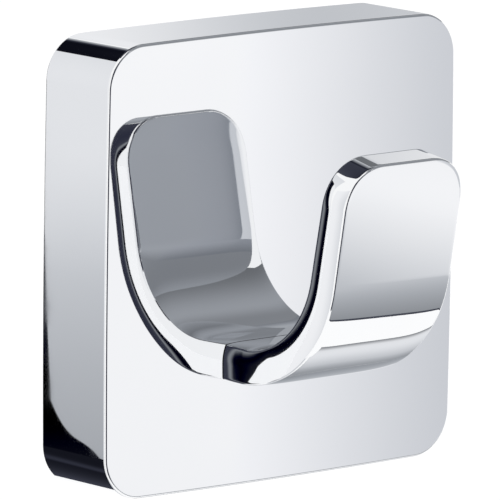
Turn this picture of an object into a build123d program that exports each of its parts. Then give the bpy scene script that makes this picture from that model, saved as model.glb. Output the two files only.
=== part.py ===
# Towel hook: a square cap over a hidden wall bracket, with a bent strap standing on its front.
# The wall is the plane Y = 0 and the room lies towards -Y. The origin is the middle of the base
# on the wall, X runs across the base and +Z is up. Sizes are in millimetres and degrees.
import os
from math import cos, radians, sin, tan

from build123d import *

# Base cover, a cap that is open towards the wall
base_size = 48.0  # between the middles of opposite sides
base_depth = 10.4  # from the wall to the front face
side_bow = 0.22  # swell of each side at its middle
corner_radius = 4.7
front_edge_radius = 0.3
front_wall = 3.0
side_wall = 2.5
cavity_corner_radius = 2.2

# Hook strap, measured from the front face of the base
hook_width = 16.4
root_top = -8.75  # height of its upper face at the root
root_thickness = 3.85
tip_thickness = 3.4
throat = 12.1  # out to the corner that the inner bend rounds off
arm_rise = 21.75  # from the upper face at the root to the tip
arm_lean = 11.2  # of the upright arm, away from the wall
inner_bend_radius = 10.8
tip_corner_radius = 5.0
side_crown = 0.12  # swell of the strap's long sides
blank_margin = 0.05  # the flat blank is wider than the crowned strap by this on each side
strap_edge_radius = 0.3

# Tenon of the hook, seated in a slot through the front wall
tenon_width = 12.0
tenon_thickness = 2.4
tenon_clearance = 0.05

# Wall bracket, a dovetail plate that is taller towards the room
bracket_width = 30.0
bracket_thickness = 4.0
bracket_bevel = 30.0  # slope of its upper and lower edges
bracket_corner_radius = 2.0
bracket_headroom = 1.0  # below the cap's top wall
wall_screw_spacing = 20.0
wall_screw_hole = 4.5
countersink_diameter = 8.4
countersink_angle = 90.0

# Rib under the cap's top wall, hooked behind the bracket's upper bevel
rib_width = 24.0
rib_depth = 3.0
rib_clearance = 0.2

# Set screw, and the boss of the bottom wall that it is threaded through
screw_diameter = 4.0
screw_length = 6.0
screw_point_height = 1.5
screw_point_flat = 1.0
screw_offset = 3.0  # from the wall to the screw's axis
screw_clearance = 0.05
socket_across_flats = 2.0
socket_depth = 2.2
boss_width = 10.0
boss_height = 2.0
boss_headroom = 2.5  # lift that lets the rib pass over the bracket

# Places and slopes that follow from the sizes
cavity_depth = base_depth - front_wall
cavity_half = base_size / 2 - side_wall
bevel_slope = tan(radians(bracket_bevel))
bevel_run = bracket_thickness * bevel_slope
bracket_top = cavity_half - bracket_headroom
boss_top = boss_height - cavity_half
bracket_bottom = boss_top + boss_headroom
root_bottom = root_top - root_thickness
root_middle = (root_top + root_bottom) / 2


def bowed_square(size, radius):
    # outline with softly swollen sides and rounded corners
    corner = size / 2 - side_bow
    turns = [(1, -1), (1, 1), (-1, 1), (-1, -1), (1, -1)]
    with BuildSketch() as outline:
        with BuildLine():
            for (x1, y1), (x2, y2) in zip(turns, turns[1:]):
                SagittaArc((x1 * corner, y1 * corner), (x2 * corner, y2 * corner), -side_bow)
        make_face()
        fillet(outline.vertices(), radius)
    return outline.sketch


def upper_bevel(depth):
    # height of the bracket's upper edge at a depth from the wall
    return bracket_top - bevel_run + depth * bevel_slope


def lower_bevel(depth):
    # height of the bracket's lower edge at a depth from the wall
    return bracket_bottom + bevel_run - depth * bevel_slope


# Base cover
cover_outline = bowed_square(base_size, corner_radius)
cavity_outline = bowed_square(2 * cavity_half, cavity_corner_radius)
rib_root = cavity_half + side_wall / 2
rib_gap = rib_clearance / cos(radians(bracket_bevel))
boss_root = -cavity_half - side_wall / 2

with BuildPart() as base_cover:
    with BuildSketch(Plane.XZ):
        add(cover_outline)
    extrude(amount=base_depth)
    fillet(base_cover.faces().sort_by(Axis.Y)[0].edges(), front_edge_radius)
    with BuildSketch(Plane.XZ):
        add(cavity_outline)
    extrude(amount=cavity_depth, mode=Mode.SUBTRACT)
    # Rib, rooted in the top wall, with its lower face along the bracket's bevel
    with BuildSketch(Plane.YZ):
        with BuildLine():
            Polyline(
                (0, rib_root),
                (0, upper_bevel(0) + rib_gap),
                (-rib_depth, upper_bevel(rib_depth) + rib_gap),
                (-rib_depth, rib_root),
                close=True,
            )
        make_face()
    extrude(amount=rib_width / 2, both=True)
    # Boss on the bottom wall, and the hole through both for the set screw
    with BuildSketch(Plane.XZ):
        with Locations((0, (boss_top + boss_root) / 2)):
            Rectangle(boss_width, boss_top - boss_root)
    extrude(amount=cavity_depth)
    with BuildSketch(Plane.XY.offset(boss_top)):
        with Locations((0, -screw_offset)):
            Circle(screw_diameter / 2 + screw_clearance)
    extrude(amount=-boss_height - 2 * side_wall, mode=Mode.SUBTRACT)
    # Slot for the hook's tenon
    with BuildSketch(Plane.XZ.offset(cavity_depth)):
        with Locations((0, root_middle)):
            Rectangle(tenon_width + 2 * tenon_clearance, tenon_thickness + 2 * tenon_clearance)
    extrude(amount=front_wall, mode=Mode.SUBTRACT)

# Corner points of the strap's side view, as (distance out from the base, height)
lean = radians(arm_lean)
along_arm = Vector(sin(lean), cos(lean))
across_arm = Vector(cos(lean), -sin(lean))
inner_corner = Vector(throat, root_top)
inner_tip = inner_corner + along_arm * (arm_rise / cos(lean))
outer_tip = inner_tip + across_arm * tip_thickness
outer_heel = inner_corner + across_arm * root_thickness
heel_to_tip = outer_tip - outer_heel
outer_corner = outer_heel + heel_to_tip * ((root_bottom - outer_heel.Y) / heel_to_tip.Y)
middle_corner = (inner_corner + outer_corner) / 2
middle_end = (inner_tip + outer_tip) / 2 + along_arm * root_thickness
hook_side = Plane(origin=(0, -base_depth, 0), x_dir=(0, -1, 0), z_dir=(-1, 0, 0))

# Bar with crowned sides along the strap's middle line, thicker and longer than the strap
crown_reach = root_thickness
crown_height = side_crown * (crown_reach / (root_thickness / 2)) ** 2
crown_x = hook_width / 2 - crown_height

with BuildPart() as crowned_bar:
    with BuildLine(hook_side) as middle_line:
        FilletPolyline(
            (0, root_middle),
            tuple(middle_corner),
            tuple(middle_end),
            radius=inner_bend_radius + root_thickness / 2,
        )
    with BuildSketch(Plane.XZ.offset(base_depth)):
        with BuildLine():
            low = root_middle - crown_reach
            high = root_middle + crown_reach
            SagittaArc((crown_x, low), (crown_x, high), -crown_height)
            Line((crown_x, high), (-crown_x, high))
            SagittaArc((-crown_x, high), (-crown_x, low), -crown_height)
            Line((-crown_x, low), (crown_x, low))
        make_face()
    sweep(path=middle_line.wire())

# Hook: a bent blank with rounded tip corners, crowned sides, softened edges and a tenon
with BuildPart() as hook:
    with BuildSketch(hook_side):
        with BuildLine():
            FilletPolyline((0, root_top), inner_corner, inner_tip, radius=inner_bend_radius)
            Line(inner_tip, outer_tip)
            FilletPolyline(
                outer_tip, outer_corner, (0, root_bottom), radius=inner_bend_radius + root_thickness
            )
            Line((0, root_bottom), (0, root_top))
        make_face()
    extrude(amount=hook_width / 2 + blank_margin, both=True)
    tip_edges = hook.faces().sort_by(Axis.Z)[-1].edges().sort_by(Axis.X)
    fillet([tip_edges[0], tip_edges[-1]], tip_corner_radius)
    add(crowned_bar.part, mode=Mode.INTERSECT)
    root_edges = hook.faces().sort_by(Axis.Y)[-1].edges()
    fillet(hook.edges().filter_by(lambda edge: edge not in root_edges), strap_edge_radius)
    with BuildSketch(Plane.XZ.offset(cavity_depth)):
        with Locations((0, root_middle)):
            Rectangle(tenon_width, tenon_thickness)
    extrude(amount=front_wall)

# Wall bracket
with BuildPart() as wall_bracket:
    with BuildSketch(Plane.YZ):
        with BuildLine():
            Polyline(
                (0, lower_bevel(0)),
                (0, upper_bevel(0)),
                (-bracket_thickness, bracket_top),
                (-bracket_thickness, bracket_bottom),
                close=True,
            )
        make_face()
    extrude(amount=bracket_width / 2, both=True)
    ends = wall_bracket.faces().filter_by(Axis.X)
    fillet(ends.edges().filter_by(Axis.Z, reverse=True), bracket_corner_radius)
    with Locations(Plane.XZ.offset(bracket_thickness)):
        with GridLocations(wall_screw_spacing, 0, 2, 1):
            CounterSinkHole(
                wall_screw_hole / 2, countersink_diameter / 2, bracket_thickness, countersink_angle
            )

# Set screw, with its cone point against the bracket's lower bevel
screw_tip = lower_bevel(screw_offset + screw_point_flat / 2) - screw_clearance
screw_end = screw_tip - screw_length

with BuildPart() as grub_screw:
    with BuildSketch(Plane.XZ.offset(screw_offset)):
        with BuildLine():
            Polyline(
                (0, screw_end),
                (screw_diameter / 2, screw_end),
                (screw_diameter / 2, screw_tip - screw_point_height),
                (screw_point_flat / 2, screw_tip),
                (0, screw_tip),
                close=True,
            )
        make_face()
    revolve(axis=Axis((0, -screw_offset, 0), (0, 0, 1)))
    with BuildSketch(Plane.XY.offset(screw_end)):
        with Locations((0, -screw_offset)):
            RegularPolygon(socket_across_flats / 2, 6, major_radius=False)
    extrude(amount=socket_depth, mode=Mode.SUBTRACT)

base_cover.part.label = "base_cover"
hook.part.label = "hook"
wall_bracket.part.label = "wall_bracket"
grub_screw.part.label = "grub_screw"

os.makedirs("parts", exist_ok=True)
export_step(base_cover.part, "parts/base_cover.step")
export_step(hook.part, "parts/hook.step")
export_step(wall_bracket.part, "parts/wall_bracket.step")
export_step(grub_screw.part, "parts/grub_screw.step")
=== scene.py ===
import math

import bmesh
import bpy
from mathutils import Matrix, Vector


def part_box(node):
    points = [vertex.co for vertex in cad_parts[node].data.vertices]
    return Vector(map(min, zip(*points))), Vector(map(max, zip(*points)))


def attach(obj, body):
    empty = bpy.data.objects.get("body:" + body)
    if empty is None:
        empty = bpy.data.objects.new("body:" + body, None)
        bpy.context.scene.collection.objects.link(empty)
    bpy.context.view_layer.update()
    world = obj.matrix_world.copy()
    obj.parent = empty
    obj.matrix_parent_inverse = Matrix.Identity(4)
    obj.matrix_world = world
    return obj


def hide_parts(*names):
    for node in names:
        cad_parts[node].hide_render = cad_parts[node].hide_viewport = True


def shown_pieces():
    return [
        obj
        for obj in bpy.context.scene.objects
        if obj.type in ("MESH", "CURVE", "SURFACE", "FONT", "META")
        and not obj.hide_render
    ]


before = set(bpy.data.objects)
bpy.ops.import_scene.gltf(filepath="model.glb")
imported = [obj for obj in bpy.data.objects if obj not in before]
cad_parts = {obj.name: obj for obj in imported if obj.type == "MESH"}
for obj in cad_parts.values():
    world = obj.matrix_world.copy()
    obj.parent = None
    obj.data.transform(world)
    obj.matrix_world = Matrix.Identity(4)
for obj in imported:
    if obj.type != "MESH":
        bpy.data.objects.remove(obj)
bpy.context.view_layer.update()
scene = bpy.context.scene
scene.view_settings.view_transform = "Standard"
mm = 0.001
creaseAngle = 35  # degrees, above which an edge of a piece stays crisp
print("frame loaded:", ", ".join(sorted(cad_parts)))


# Helpers that several pieces use

def linkObject(name, data):
    made = bpy.data.objects.new(name, data)
    scene.collection.objects.link(made)
    return made


def meshPiece(name, points, faces):
    mesh = bpy.data.meshes.new(name)
    mesh.from_pydata([tuple(p) for p in points], [], faces)
    work = bmesh.new()
    work.from_mesh(mesh)
    bmesh.ops.recalc_face_normals(work, faces=work.faces)
    work.to_mesh(mesh)
    work.free()
    return linkObject(name, mesh)


def rowFaces(first, second, count, closed):
    # quads between two rows of points, which start at first and second
    pairs = [(i, (i + 1) % count) for i in range(count if closed else count - 1)]
    return [(first + i, first + j, second + j, second + i) for i, j in pairs]


def loftPiece(name, rows):
    # closed skin over rows of equal length, with flat ends
    count = len(rows[0])
    faces = [tuple(range(count)), tuple(range((len(rows) - 1) * count, len(rows) * count))]
    for i in range(len(rows) - 1):
        faces += rowFaces(i * count, (i + 1) * count, count, True)
    return meshPiece(name, [p for row in rows for p in row], faces)


def carve(target, tool, operation):
    # one boolean, kept at once, and the tool is thrown away
    step = target.modifiers.new("carve", "BOOLEAN")
    step.operation = operation
    step.solver = "EXACT"
    step.object = tool
    bpy.context.view_layer.update()
    shaped = target.evaluated_get(bpy.context.evaluated_depsgraph_get())
    mesh = bpy.data.meshes.new_from_object(shaped)
    target.modifiers.clear()
    target.data = mesh
    bpy.data.objects.remove(tool)


def evenShading(piece, crease):
    # flat faces stay flat and round ones run smooth, with crisp creases between them
    piece.data.polygons.foreach_set("use_smooth", [True] * len(piece.data.polygons))
    piece.data.set_sharp_from_angle(angle=math.radians(crease))
    even = piece.modifiers.new("evenNormals", "WEIGHTED_NORMAL")
    even.keep_sharp = True
    even.weight = 100


def dress(piece, node):
    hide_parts(node)
    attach(piece, "root")
    print(piece.name, "has", len(piece.data.polygons), "faces")


# Materials. Each one takes its pattern from the surface's own coordinates

def surfaceMaterial(name):
    material = bpy.data.materials.new(name)
    material.use_nodes = True
    nodes = material.node_tree.nodes
    return material, nodes, material.node_tree.links, nodes["Principled BSDF"]


def noiseRamp(nodes, links, scale, detail, low, high, stretch=(1, 1, 1)):
    # grey or coloured noise between two values, in metres of the part
    coords = nodes.new("ShaderNodeTexCoord")
    place = nodes.new("ShaderNodeMapping")
    place.inputs["Scale"].default_value = stretch
    noise = nodes.new("ShaderNodeTexNoise")
    noise.inputs["Scale"].default_value = scale
    noise.inputs["Detail"].default_value = detail
    ramp = nodes.new("ShaderNodeValToRGB")
    ramp.color_ramp.elements[0].position = 0.3
    ramp.color_ramp.elements[1].position = 0.7
    ramp.color_ramp.elements[0].color = low
    ramp.color_ramp.elements[1].color = high
    links.new(coords.outputs["Object"], place.inputs["Vector"])
    links.new(place.outputs["Vector"], noise.inputs["Vector"])
    links.new(noise.outputs["Fac"], ramp.inputs["Fac"])
    return noise.outputs["Fac"], ramp.outputs["Color"]


def grey(value):
    return (value, value, value, 1)


def makeChrome():
    material, nodes, links, shader = surfaceMaterial("polishedChrome")
    shader.inputs["Metallic"].default_value = 1
    tone = noiseRamp(nodes, links, 55, 2, (0.915, 0.923, 0.936, 1), (0.932, 0.937, 0.947, 1))[1]
    gloss = noiseRamp(nodes, links, 180, 4, grey(0.008), grey(0.03))[1]
    links.new(tone, shader.inputs["Base Color"])
    links.new(gloss, shader.inputs["Roughness"])
    return material


def makeCastSkin():
    # unpolished inside of the plated casting
    material, nodes, links, shader = surfaceMaterial("castSkin")
    shader.inputs["Metallic"].default_value = 1
    tone = noiseRamp(nodes, links, 260, 5, (0.50, 0.505, 0.515, 1), (0.64, 0.645, 0.65, 1))[1]
    gloss = noiseRamp(nodes, links, 700, 3, grey(0.34), grey(0.5))[1]
    grain = noiseRamp(nodes, links, 2600, 3, grey(0), grey(1))[0]
    bump = nodes.new("ShaderNodeBump")
    bump.inputs["Strength"].default_value = 0.25
    bump.inputs["Distance"].default_value = 0.05 * mm
    links.new(grain, bump.inputs["Height"])
    links.new(bump.outputs["Normal"], shader.inputs["Normal"])
    links.new(tone, shader.inputs["Base Color"])
    links.new(gloss, shader.inputs["Roughness"])
    return material


def makeZinc():
    material, nodes, links, shader = surfaceMaterial("zincPlate")
    shader.inputs["Metallic"].default_value = 1
    tone = noiseRamp(nodes, links, 140, 6, (0.55, 0.56, 0.575, 1), (0.70, 0.70, 0.69, 1))[1]
    gloss = noiseRamp(nodes, links, 900, 4, grey(0.32), grey(0.4), (1, 1, 0.3))[1]
    grain = noiseRamp(nodes, links, 1800, 4, grey(0), grey(1), (1, 1, 0.3))[0]
    bump = nodes.new("ShaderNodeBump")
    bump.inputs["Strength"].default_value = 0.08
    bump.inputs["Distance"].default_value = 0.04 * mm
    links.new(grain, bump.inputs["Height"])
    links.new(bump.outputs["Normal"], shader.inputs["Normal"])
    links.new(tone, shader.inputs["Base Color"])
    links.new(gloss, shader.inputs["Roughness"])
    return material


def makeStainless():
    material, nodes, links, shader = surfaceMaterial("stainlessScrew")
    shader.inputs["Metallic"].default_value = 1
    tone = noiseRamp(nodes, links, 600, 4, (0.47, 0.465, 0.46, 1), (0.58, 0.575, 0.57, 1))[1]
    gloss = noiseRamp(nodes, links, 1500, 3, grey(0.2), grey(0.36))[1]
    links.new(tone, shader.inputs["Base Color"])
    links.new(gloss, shader.inputs["Roughness"])
    return material


def makeJointShadow():
    # painted shade: a near-black band on the strap's root where it meets the cover, standing in for the
    # shade of the hairline joint
    material, nodes, links, shader = surfaceMaterial("jointShadow")
    tone = noiseRamp(nodes, links, 900, 3, grey(0.004), grey(0.012))[1]
    shader.inputs["Roughness"].default_value = 0.8
    shader.inputs["Specular IOR Level"].default_value = 0.1
    links.new(tone, shader.inputs["Base Color"])
    return material


polishedChrome, castSkin, zincPlate = makeChrome(), makeCastSkin(), makeZinc()
stainlessScrew, jointShadow = makeStainless(), makeJointShadow()
print("materials made")


# Base cover: square cap with bowed sides, open towards the wall

cover = {
    "sideBow": 0.22 * mm,
    "cornerRadius": 4.7 * mm,
    "cavityCorner": 2.2 * mm,
    "frontEdge": 0.3 * mm,
    "backEdge": 0.3 * mm,
    "frontWall": 3.0 * mm,
    "sideWall": 2.5 * mm,
    "slotWidth": 12.1 * mm,
    "slotHeight": 2.5 * mm,
    "slotMiddle": -10.675 * mm,
    "ribWidth": 24.0 * mm,
    "ribDepth": 3.0 * mm,
    "ribFoot": 18.42 * mm,
    "ribSlope": math.tan(math.radians(30)),
    "bossWidth": 10.0 * mm,
    "bossHeight": 2.0 * mm,
    "screwHole": 2.05 * mm,
    "screwOffset": 3.0 * mm,
    "holeSteps": 64,
    "sideSteps": 24,
    "cornerSteps": 32,
    "edgeSteps": 8,
}
coverLow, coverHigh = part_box("base_cover")
coverSize = coverHigh.x - coverLow.x
coverFront = coverLow.y
cavityFloor = coverFront + cover["frontWall"]
cavityHalf = coverSize / 2 - cover["sideWall"]


def bowedSquare(size, radius, inset):
    # four shallow arcs with a round corner between each pair, as on the solid
    half, bow = size / 2, cover["sideBow"]
    chord = half - bow
    big = (chord * chord + bow * bow) / (2 * bow)
    back = half - big
    centre = back / 2 + math.sqrt((big - radius) ** 2 / 2 - back * back / 4)
    sweep = math.atan2(centre, centre - back)
    side = []
    for i in range(cover["sideSteps"]):
        angle = sweep * (2 * i / cover["sideSteps"] - 1)
        side.append(Vector((back + (big - inset) * math.cos(angle), (big - inset) * math.sin(angle))))
    for i in range(cover["cornerSteps"]):
        angle = sweep + (math.pi / 2 - 2 * sweep) * i / cover["cornerSteps"]
        tip = Vector((math.cos(angle), math.sin(angle))) * (radius - inset)
        side.append(tip + Vector((centre, centre)))
    turns = [Matrix.Rotation(i * math.pi / 2, 2) for i in range(4)]
    return [turn @ p for turn in turns for p in side]


def blockPiece(name, halfWidth, profile):
    # prism across the cover, from a closed outline of (depth from the wall, height)
    return loftPiece(name, [[(x, -depth, z) for depth, z in profile] for x in (-halfWidth, halfWidth)])


def makeCover():
    steps = [math.pi / 2 * i / cover["edgeSteps"] for i in range(cover["edgeSteps"] + 1)]
    levels = []
    for angle in steps:
        rise, run = cover["frontEdge"] * (1 - math.cos(angle)), cover["frontEdge"] * (1 - math.sin(angle))
        levels.append((coverFront + rise, run))
    for angle in steps:
        rise, run = cover["backEdge"] * (math.sin(angle) - 1), cover["backEdge"] * (1 - math.cos(angle))
        levels.append((rise, run))
    rows = []
    for y, inset in levels:
        rows.append([(x, y, z) for x, z in bowedSquare(coverSize, cover["cornerRadius"], inset)])
    cavity = bowedSquare(2 * cavityHalf, cover["cavityCorner"], 0)
    rows += [[(x, y, z) for x, z in cavity] for y in (0, cavityFloor)]
    return loftPiece("baseCover", rows)


baseCover = makeCover()
ribTop = cavityHalf + cover["sideWall"] / 2
ribDrop = cover["ribFoot"] + cover["ribDepth"] * cover["ribSlope"]
ribProfile = [(0, ribTop), (0, cover["ribFoot"]), (cover["ribDepth"], ribDrop), (cover["ribDepth"], ribTop)]
carve(baseCover, blockPiece("rib", cover["ribWidth"] / 2, ribProfile), "UNION")
bossTop = cover["bossHeight"] - cavityHalf
bossDepth = -cavityFloor + cover["frontWall"] / 2
bossProfile = [(0, -ribTop), (0, bossTop), (bossDepth, bossTop), (bossDepth, -ribTop)]
carve(baseCover, blockPiece("boss", cover["bossWidth"] / 2, bossProfile), "UNION")
holeRing = []
for i in range(cover["holeSteps"]):
    angle = 2 * math.pi * i / cover["holeSteps"]
    x, y = cover["screwHole"] * math.cos(angle), cover["screwHole"] * math.sin(angle)
    holeRing.append((x, y - cover["screwOffset"]))
holeRows = [[(x, y, height) for x, y in holeRing] for height in (bossTop + mm, -coverSize)]
carve(baseCover, loftPiece("screwHole", holeRows), "DIFFERENCE")
slotHigh = cover["slotMiddle"] + cover["slotHeight"] / 2
slotLow = cover["slotMiddle"] - cover["slotHeight"] / 2
slotOut, slotIn = mm - coverFront, -cavityFloor - mm
slotProfile = [(slotIn, slotLow), (slotIn, slotHigh), (slotOut, slotHigh), (slotOut, slotLow)]
carve(baseCover, blockPiece("tenonSlot", cover["slotWidth"] / 2, slotProfile), "DIFFERENCE")
baseCover.data.materials.clear()
baseCover.data.materials.append(polishedChrome)
baseCover.data.materials.append(castSkin)
castHalf = cavityHalf + cover["sideBow"] / 8
for face in baseCover.data.polygons:
    middle = face.center
    behindFront = middle.y > coverFront + 0.01 * mm
    face.material_index = 1 if behindFront and max(abs(middle.x), abs(middle.z)) < castHalf else 0
evenShading(baseCover, creaseAngle)
dress(baseCover, "base_cover")


# Hook: bent strap with a tapering arm, crowned sides and a rounded tip

strap = {
    "rootTop": -8.75 * mm,
    "rootThickness": 3.85 * mm,
    "tipThickness": 3.4 * mm,
    "throat": 12.1 * mm,
    "armRise": 21.75 * mm,
    "armLean": 11.2,
    "bendRadius": 10.8 * mm,
    "tipCorner": 5.0 * mm,
    "edgeRadius": 0.3 * mm,
    # sides: a little swollen, drawn in at the root, and ground off more on the outside of the arm
    "swell": 0.2 * mm,
    "innerCrown": {"root": 0.42 * mm, "arm": 0.15 * mm, "start": -1.0 * mm, "stop": 8.5 * mm},
    "outerCrown": {"root": 0.04 * mm, "arm": 0.45 * mm, "start": 2.0 * mm, "stop": 13.0 * mm},
    "rootTuck": ((0.1 * mm, 2.0 * mm, 2.0), (0.3 * mm, 8.0 * mm, 2.2)),
    # broad faces: polished off towards their edges, the outer one only below the arm
    "innerPolish": {"fall": 0.12 * mm, "power": 8, "fade": 5.0 * mm, "stop": 0.0},
    "outerPolish": {"fall": 0.16 * mm, "power": 5, "fade": 6.0 * mm, "stop": 15.5 * mm},
    # width of the band of painted joint shade at the root of the strap
    "jointShadeBand": 0.1 * mm,
    "tenonWidth": 12.0 * mm,
    "tenonThickness": 2.4 * mm,
    "rootSteps": 24,
    "bendSteps": 96,
    "armSteps": 32,
    "cornerSteps": 28,
    "edgeSteps": 6,
    "crownSteps": 12,
    "faceSteps": (0, 0.2, 0.38, 0.53, 0.65, 0.75, 0.82, 0.88, 0.93, 0.97, 1),
}
hookLow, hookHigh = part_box("hook")
strapHalf = (hookHigh.x - hookLow.x) / 2 + strap["swell"]


def bendLine(start, corner, end, radius):
    # straight, arc, straight: gives a function of the stretch and the share of it, and the lengths
    inward, outward = (corner - start).normalized(), (end - corner).normalized()
    turn = abs(inward.angle_signed(outward))
    setback = radius * math.tan(turn / 2)
    first, last = corner - inward * setback, corner + outward * setback
    centre = first + Vector((-inward.y, inward.x)) * radius

    def at(stretch, share):
        if stretch == 0:
            return start.lerp(first, share)
        if stretch == 2:
            return last.lerp(end, share)
        return centre + Matrix.Rotation(turn * share, 2) @ (first - centre)

    return at, ((first - start).length, radius * turn, (end - last).length)


# side view as (distance out from the cover, height)
lean = math.radians(strap["armLean"])
alongArm = Vector((math.sin(lean), math.cos(lean)))
acrossArm = Vector((math.cos(lean), -math.sin(lean)))
rootBottom = strap["rootTop"] - strap["rootThickness"]
innerCorner = Vector((strap["throat"], strap["rootTop"]))
innerTip = innerCorner + alongArm * (strap["armRise"] / math.cos(lean))
outerTip = innerTip + acrossArm * strap["tipThickness"]
outerHeel = innerCorner + acrossArm * strap["rootThickness"]
heelToTip = outerTip - outerHeel
outerCorner = outerHeel + heelToTip * ((rootBottom - outerHeel.y) / heelToTip.y)
outerRadius = strap["bendRadius"] + strap["rootThickness"]
innerAt, innerRuns = bendLine(Vector((0, strap["rootTop"])), innerCorner, innerTip, strap["bendRadius"])
outerAt, outerRuns = bendLine(Vector((0, rootBottom)), outerCorner, outerTip, outerRadius)
runs = [(a + b) / 2 for a, b in zip(innerRuns, outerRuns)]
strapLength = sum(runs)


def strapFaces(along):
    # points of the inner and outer face at a length along the strap
    stretch = 0
    while stretch < 2 and along > runs[stretch]:
        along -= runs[stretch]
        stretch += 1
    share = along / runs[stretch]
    return innerAt(stretch, share), outerAt(stretch, share)


def smooth(share):
    share = min(1.0, max(0.0, share))
    return share ** 3 * (10 - 15 * share + 6 * share * share)


def faceDepth(along, across, outside):
    # half thickness at a share of the half width, full in the middle and thinner at the edges
    inner, outer = strapFaces(along)
    polish = strap["outerPolish" if outside else "innerPolish"]
    kept = smooth((strapLength - polish["stop"] - along) / polish["fade"])
    return (outer - inner).length / 2 + polish["fall"] * kept * (0.5 - abs(across) ** polish["power"])


def strapPoint(x, along, depth):
    # depth is 0 in the middle of the strap and grows towards the outer face
    inner, outer = strapFaces(along)
    spot = (inner + outer) / 2 + (outer - inner).normalized() * depth
    return Vector((x, coverFront - spot.x, spot.y))


def rimHalf(along, outside):
    # (inset, depth) pairs from one face over the rounded edge to the middle of the side
    swell = strap["outerCrown" if outside else "innerCrown"]
    turned = smooth((along - swell["start"]) / (swell["stop"] - swell["start"]))
    crown = swell["root"] + (swell["arm"] - swell["root"]) * turned
    crown *= smooth((strapLength - along) / strap["tipCorner"])  # the end of the tip is flat
    half, edge = faceDepth(along, 1, outside), strap["edgeRadius"]
    slope = math.atan(2 * crown / half)
    sideDepth = half - edge * (1 - math.sin(slope))
    edgeInset = crown * (sideDepth / half) ** 2 + edge * math.cos(slope)
    pairs = []
    for i in range(strap["edgeSteps"] + 1):
        angle = math.pi / 2 + (slope - math.pi / 2) * i / strap["edgeSteps"]
        pairs.append((edgeInset - edge * math.cos(angle), half - edge + edge * math.sin(angle)))
    for i in range(1, strap["crownSteps"]):
        depth = sideDepth * (1 - i / strap["crownSteps"])
        pairs.append((crown * (depth / half) ** 2, depth))
    return pairs


def rimProfile(along):
    # from the outer face round the rim to the inner face
    inside = [(inset, -depth) for inset, depth in rimHalf(along, False)]
    return rimHalf(along, True) + [(0.0, 0.0)] + inside[::-1]


def tuck(along):
    # how far the sides draw in near the root
    return sum(size * max(0.0, 1 - along / reach) ** power for size, reach, power in strap["rootTuck"])


def strapMarks():
    # lengths along the strap up to where the tip's corners start
    # an extra row closes the band of painted joint shade at the root
    marks = [0.0, strap["jointShadeBand"]]
    stops = (runs[0], runs[0] + runs[1], strapLength - strap["tipCorner"])
    for stop, steps in zip(stops, (strap["rootSteps"], strap["bendSteps"], strap["armSteps"])):
        begin = marks[-1]
        marks += [begin + (stop - begin) * (i + 1) / steps for i in range(steps)]
    return marks


def makeHook():
    corner = strap["tipCorner"]
    centreX, centreAlong = strapHalf - corner, strapLength - corner
    spots = []
    for along in strapMarks():
        edge = strapHalf - tuck(along)
        spots.append([(edge - inset, along, depth) for inset, depth in rimProfile(along)])
    for i in range(1, strap["cornerSteps"] + 1):
        turn = math.pi / 2 * i / strap["cornerSteps"]
        rim = []
        for inset, depth in rimProfile(centreAlong + corner * math.sin(turn)):
            reach = corner - inset
            rim.append((centreX + reach * math.cos(turn), centreAlong + reach * math.sin(turn), depth))
        spots.append(rim)
    layers, count = len(spots[0]), len(spots)
    points, faces = [], []
    for side in (1, -1):
        for rim in spots:
            points += [strapPoint(side * x, along, depth) for x, along, depth in rim]
    half = count * layers
    for i in range(count - 1):
        for first in (0, half):
            faces += rowFaces(first + i * layers, first + (i + 1) * layers, layers, False)
    # end of the tip and the flat root, from the right rim to the left one
    faces += rowFaces(half - layers, 2 * half - layers, layers, False)
    faces.append(tuple(range(layers)) + tuple(range(half + layers - 1, half - 1, -1)))
    # broad faces, with rows of points between the rims
    shares = strap["faceSteps"]
    across = [-u for u in shares[:0:-1]] + list(shares)
    for layer, sign in ((0, 1), (layers - 1, -1)):
        rows = []
        for i in range(count):
            x, along, depth = spots[i][layer]
            row = [half + i * layers + layer]
            for u in across[1:-1]:
                row.append(len(points))
                points.append(strapPoint(u * x, along, sign * faceDepth(along, u, sign > 0)))
            rows.append(row + [i * layers + layer])
        for low, high in zip(rows, rows[1:]):
            faces += [(low[j], low[j + 1], high[j + 1], high[j]) for j in range(len(across) - 1)]
    return meshPiece("hookStrap", points, faces)


hookStrap = makeHook()
tenonMiddle = (strap["rootTop"] + rootBottom) / 2
tenonLow = tenonMiddle - strap["tenonThickness"] / 2
tenonHigh = tenonMiddle + strap["tenonThickness"] / 2
# the tenon reaches out through the band of painted joint shade
tenonOut, tenonIn = strap["jointShadeBand"] - coverFront, -cavityFloor
tenonProfile = [(tenonIn, tenonLow), (tenonIn, tenonHigh), (tenonOut, tenonHigh), (tenonOut, tenonLow)]
carve(hookStrap, blockPiece("tenon", strap["tenonWidth"] / 2, tenonProfile), "UNION")
hookStrap.data.materials.clear()
hookStrap.data.materials.append(polishedChrome)
hookStrap.data.materials.append(jointShadow)
# faces within the band at the root take the painted joint shade
for face in hookStrap.data.polygons:
    out = coverFront - face.center.y
    face.material_index = 1 if 0 < out < strap["jointShadeBand"] * 0.9 else 0
evenShading(hookStrap, creaseAngle)
dress(hookStrap, "hook")


# Hidden hardware behind the cover

def dressNode(node, material):
    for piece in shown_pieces():
        if piece.name == node:
            piece.data.materials.clear()
            piece.data.materials.append(material)


dressNode("wall_bracket", zincPlate)
dressNode("grub_screw", stainlessScrew)
print("hidden hardware dressed")


# Camera, fitted to the base's outline

view = {
    "azimuth": -40.73,
    "elevation": 9.61,
    "roll": 0.77,
    "distance": 915 * mm,
    "target": Vector((-4.15, -10, 0.79)) * mm,
    "lens": 630.2,
}


def direction(azimuth, elevation):
    # azimuth from the front towards the right, elevation from the horizon
    around, up = math.radians(azimuth), math.radians(elevation)
    return Vector((math.sin(around) * math.cos(up), -math.cos(around) * math.cos(up), math.sin(up)))


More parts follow.
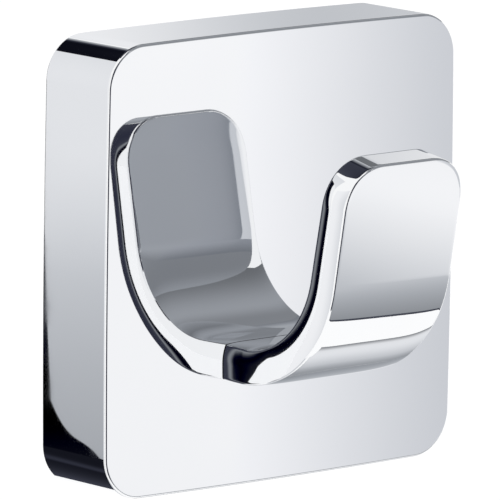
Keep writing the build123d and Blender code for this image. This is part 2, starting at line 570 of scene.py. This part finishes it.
def makeCamera():
    data = bpy.data.cameras.new("photoCamera")
    data.lens = view["lens"]
    data.sensor_width = 36
    data.clip_start = 0.05
    camera = linkObject("photoCamera", data)
    back = direction(view["azimuth"], view["elevation"])
    aim = (-back).to_track_quat("-Z", "Y").to_matrix().to_4x4()
    tilt = Matrix.Rotation(math.radians(view["roll"]), 4, "Z")
    camera.matrix_world = Matrix.Translation(view["target"] + back * view["distance"]) @ aim @ tilt
    scene.camera = camera


makeCamera()
print("camera set")


# World and floor: white to the camera and in reflections, softer as light

studio = {
    "ambient": 0.55,
    "sun": 1.4,
    "sunAngle": 40,
    "sunAzimuth": -35,
    "sunElevation": 52,
    "floorDrop": 0.75,
    "floorReach": 6.0,
    "floorLift": 0.22,
}


def seenRays(nodes, links):
    # 1 for rays of the camera, of reflections and through glass
    paths = nodes.new("ShaderNodeLightPath")
    direct = nodes.new("ShaderNodeMath")
    direct.operation = "MAXIMUM"
    links.new(paths.outputs["Is Camera Ray"], direct.inputs[0])
    links.new(paths.outputs["Is Glossy Ray"], direct.inputs[1])
    through = nodes.new("ShaderNodeMath")
    through.operation = "MAXIMUM"
    links.new(direct.outputs[0], through.inputs[0])
    links.new(paths.outputs["Is Transmission Ray"], through.inputs[1])
    return through.outputs[0]


def makeWorld():
    world = bpy.data.worlds.new("studioWorld")
    scene.world = world
    world.use_nodes = True
    nodes, links = world.node_tree.nodes, world.node_tree.links
    level = nodes.new("ShaderNodeMapRange")
    level.inputs["To Min"].default_value = studio["ambient"]
    links.new(seenRays(nodes, links), level.inputs["Value"])
    nodes["Background"].inputs["Color"].default_value = (1, 1, 1, 1)
    links.new(level.outputs[0], nodes["Background"].inputs["Strength"])


def makeFloor():
    reach, drop = studio["floorReach"], -studio["floorDrop"]
    corners = [(-reach, -reach, drop), (reach, -reach, drop), (reach, reach, drop), (-reach, reach, drop)]
    floor = meshPiece("studioFloor", corners, [(0, 1, 2, 3)])
    material = bpy.data.materials.new("paleFloor")
    material.use_nodes = True
    nodes, links = material.node_tree.nodes, material.node_tree.links
    nodes.clear()
    matte = nodes.new("ShaderNodeBsdfDiffuse")
    matte.inputs["Color"].default_value = (0.92, 0.92, 0.92, 1)
    lift = nodes.new("ShaderNodeMapRange")
    lift.inputs["To Max"].default_value = studio["floorLift"]
    links.new(seenRays(nodes, links), lift.inputs["Value"])
    bright = nodes.new("ShaderNodeEmission")
    links.new(lift.outputs[0], bright.inputs["Strength"])
    pale = nodes.new("ShaderNodeAddShader")
    links.new(matte.outputs[0], pale.inputs[0])
    links.new(bright.outputs[0], pale.inputs[1])
    # clear from below, so that the part can be looked at from there
    side = nodes.new("ShaderNodeNewGeometry")
    clear = nodes.new("ShaderNodeBsdfTransparent")
    oneSided = nodes.new("ShaderNodeMixShader")
    links.new(side.outputs["Backfacing"], oneSided.inputs[0])
    links.new(pale.outputs[0], oneSided.inputs[1])
    links.new(clear.outputs[0], oneSided.inputs[2])
    output = nodes.new("ShaderNodeOutputMaterial")
    links.new(oneSided.outputs[0], output.inputs["Surface"])
    floor.data.materials.append(material)


def makeLamp():
    data = bpy.data.lights.new("softTop", "SUN")
    data.energy = studio["sun"]
    data.angle = math.radians(studio["sunAngle"])
    lamp = linkObject("softTop", data)
    above = direction(studio["sunAzimuth"], studio["sunElevation"])
    lamp.matrix_world = above.to_track_quat("Z", "Y").to_matrix().to_4x4()
    lamp.visible_glossy = False


makeWorld()
makeFloor()
makeLamp()
print("world, floor and lamp set")


# Studio cards, which only reflections show. Each one faces the part from a direction;
# left, right, bottom and top are its edges in metres, tones run across or upward

cards = [
    # dark flag in front, from beside the camera to the right, with a dull streak
    {"name": "cardFront", "azimuth": -8, "elevation": 0, "distance": 0.8,
     "edges": (-0.482, 0.43, -0.74, 0.6),
     "across": [(-0.482, 0.01), (-0.38, 0.02), (-0.315, 0.23), (-0.25, 0.05)]},
    # bright card to the right, fading towards its right end, with a grey one and a dark edge below
    {"name": "cardRight", "azimuth": 40.7, "elevation": -9.6, "distance": 0.25,
     "edges": (-0.16, 0.16, -0.038, 0.052),
     "across": [(-0.16, 1), (-0.012, 1), (0.016, 0.67), (0.16, 0.64)],
     "upward": [(-0.038, 0.95), (0.052, 1)]},
    {"name": "cardLower", "azimuth": 40.7, "elevation": -9.6, "distance": 0.25,
     "edges": (-0.16, 0.16, -0.16, -0.038),
     "upward": [(-0.16, 0.3), (-0.06, 0.56), (-0.048, 0.92), (-0.038, 0.95)]},
    {"name": "cardFoot", "azimuth": 40.7, "elevation": -9.6, "distance": 0.25,
     "edges": (-0.16, 0.16, -0.1665, -0.16),
     "across": [(-0.16, 0.06), (0.16, 0.06)]},
    # grey cards above it, with a pale gap at the right
    {"name": "cardUpper", "azimuth": 40.7, "elevation": -9.6, "distance": 0.25,
     "edges": (-0.16, 0.018, 0.052, 0.108),
     "across": [(-0.16, 1), (0.0, 1), (0.018, 0.7)],
     "upward": [(0.052, 0.37), (0.108, 0.41)]},
    {"name": "cardGap", "azimuth": 40.7, "elevation": -9.6, "distance": 0.25,
     "edges": (0.018, 0.16, 0.052, 0.108),
     "across": [(0.018, 0.7), (0.16, 0.5)]},
    {"name": "cardTop", "azimuth": 40.7, "elevation": -9.6, "distance": 0.25,
     "edges": (-0.16, 0.16, 0.108, 0.165),
     "across": [(-0.16, 1), (0.0, 1), (0.02, 0.8)],
     "upward": [(0.108, 0.41), (0.165, 0.27)]},
    # grey canopy over the right side
    {"name": "cardCanopy", "azimuth": 80, "elevation": 45, "distance": 0.3,
     "edges": (-0.35, 0.3, -0.16, 0.25),
     "across": [(-0.35, 0.3), (-0.12, 0.25), (-0.03, 0.35), (0.13, 0.18)]},
    # dark ceiling with a dull streak towards the back, and a paler end on its right
    {"name": "cardCeiling", "azimuth": 0, "elevation": 90, "distance": 0.28,
     "edges": (-0.115, 0.06, -0.05, 0.36),
     "upward": [(-0.05, 0.1), (0.08, 0.02), (0.2, 0.06), (0.28, 0.01)]},
    {"name": "cardCeilingEnd", "azimuth": 0, "elevation": 90, "distance": 0.28,
     "edges": (0.06, 0.13, -0.05, 0.36),
     "across": [(0.06, 0.02), (0.085, 0.1), (0.13, 0.55)]},
    # tall pale card behind to the left, fading downward, with a narrow lower part and a curved foot
    {"name": "cardBackLeft", "azimuth": -140.3, "elevation": -9.6, "distance": 0.28,
     "edges": (-0.3, 0.04, -0.033, 0.42),
     "foot": {"start": (0.017, -0.02), "end": (0.0245, -0.033), "shoulder": 0.035, "steps": 24},
     "upward": [(-0.033, 0.4), (0.0, 0.6), (0.02, 0.82), (0.42, 0.78)]},
    # dark flags beside it and under it, and a pale one at the bottom
    {"name": "cardBackEdge", "azimuth": -140.3, "elevation": -9.6, "distance": 0.29,
     "edges": (-0.06, 0.022, -0.035, 0.22),
     "upward": [(-0.035, 0.005), (-0.01, 0.01), (0.02, 0.16), (0.07, 0.02)]},
    {"name": "cardLowBack", "azimuth": -150, "elevation": -27, "distance": 0.3,
     "edges": (-0.2, 0.09, -0.165, 0.1),
     "across": [(-0.2, 0.05), (0.0, 0.01), (0.02, 0.03), (0.04, 0.01)]},
    {"name": "cardUnder", "azimuth": -150, "elevation": -27, "distance": 0.3,
     "edges": (-0.3, 0.2, -0.5, -0.165),
     "upward": [(-0.5, 0.9), (-0.165, 0.55)]},
    {"name": "cardBehind", "azimuth": 180, "elevation": -5, "distance": 0.32,
     "edges": (-0.1, 0.1, -0.15, 0.09),
     "across": [(-0.1, 0.01), (0.1, 0.01)]},
    # pale card on the left, a little greyer towards the front
    {"name": "cardLeft", "azimuth": -108, "elevation": -12, "distance": 0.4,
     "edges": (-0.178, 0.17, -0.3, 0.35),
     "across": [(-0.178, 0.93), (0.0, 0.9), (0.17, 0.74)]},
    # pale card behind to the right, darker in its middle
    {"name": "cardBackRight", "azimuth": 140, "elevation": 9, "distance": 0.28,
     "edges": (-0.2, 0.12, -0.05, 0.16),
     "across": [(-0.08, 1), (-0.02, 0.57), (0.015, 0.85)]},
    # grey card low on the right, with a dark left edge
    {"name": "cardLowRight", "azimuth": 110, "elevation": -44, "distance": 0.3,
     "edges": (-0.099, 0.1, -0.08, 0.06),
     "across": [(-0.099, 0.22), (-0.075, 0.8), (0.005, 0.58), (0.04, 0.35)]},
]


def cardTone(tone):
    # greys lean a little to blue, and the darkest tones more
    shade = min(1.0, max(0.0, 1.5 * (1 - tone)))
    depth = max(0.0, 1 - tone / 0.12)
    red = tone * (1 - 0.045 * shade - 0.03 * depth)
    blue = tone * (1.01 + 0.065 * shade + 0.55 * depth)
    return (red, tone, blue, 1)


def toneRamp(nodes, links, place, low, high, stops):
    # tone along one coordinate of the card
    span = nodes.new("ShaderNodeMapRange")
    span.inputs["From Min"].default_value = low
    span.inputs["From Max"].default_value = high
    links.new(place, span.inputs["Value"])
    ramp = nodes.new("ShaderNodeValToRGB")
    ramp.color_ramp.interpolation = "CARDINAL"
    marks = ramp.color_ramp.elements
    while len(marks) < len(stops):
        marks.new(0.5)
    for mark, (spot, tone) in zip(marks, stops):
        mark.position = (spot - low) / (high - low)
        mark.color = cardTone(tone)
    links.new(span.outputs[0], ramp.inputs["Fac"])
    return ramp.outputs["Color"]


def cardOutline(card):
    left, right, bottom, top = card["edges"]
    if "foot" not in card:
        return [(left, bottom), (right, bottom), (right, top), (left, top)]
    foot = card["foot"]
    (x1, y1), (x2, y2) = foot["start"], foot["end"]
    curve = []
    for i in range(foot["steps"] + 1):
        share = i / foot["steps"]
        drop = (share + 0.5 + 0.5 * (2 * share - 1) ** 3) / 2  # steep at both ends, flatter between
        curve.append((x1 + (x2 - x1) * share, y1 + (y2 - y1) * drop))
    shoulder = foot["shoulder"]
    return curve + [(right, bottom), (right, top), (left, top), (left, shoulder), (x1, shoulder)]


def makeCard(card):
    left, right, bottom, top = card["edges"]
    outline = cardOutline(card)
    piece = meshPiece(card["name"], [(x, y, 0) for x, y in outline], [tuple(range(len(outline)))])
    towards = direction(card["azimuth"], card["elevation"])
    around = math.radians(card["azimuth"])
    side = Vector((math.cos(around), math.sin(around), 0))
    rise = towards.cross(side)
    facing = Matrix((side, rise, side.cross(rise))).transposed().to_4x4()
    piece.matrix_world = Matrix.Translation(towards * card["distance"]) @ facing
    material = bpy.data.materials.new(card["name"])
    material.use_nodes = True
    nodes, links = material.node_tree.nodes, material.node_tree.links
    nodes.clear()
    glow = nodes.new("ShaderNodeEmission")
    output = nodes.new("ShaderNodeOutputMaterial")
    links.new(glow.outputs[0], output.inputs["Surface"])
    coords = nodes.new("ShaderNodeTexCoord")
    split = nodes.new("ShaderNodeSeparateXYZ")
    links.new(coords.outputs["Object"], split.inputs[0])
    tones = []
    if "across" in card:
        tones.append(toneRamp(nodes, links, split.outputs["X"], left, right, card["across"]))
    if "upward" in card:
        tones.append(toneRamp(nodes, links, split.outputs["Y"], bottom, top, card["upward"]))
    if len(tones) == 2:
        both = nodes.new("ShaderNodeMix")
        both.data_type = "RGBA"
        both.blend_type = "MULTIPLY"
        both.inputs["Factor"].default_value = 1
        links.new(tones[0], both.inputs[6])
        links.new(tones[1], both.inputs[7])
        tones = [both.outputs[2]]
    links.new(tones[0], glow.inputs["Color"])
    piece.data.materials.append(material)
    piece.visible_camera = False
    piece.visible_diffuse = False
    piece.visible_shadow = False


for card in cards:
    makeCard(card)
print("studio cards:", len(cards))
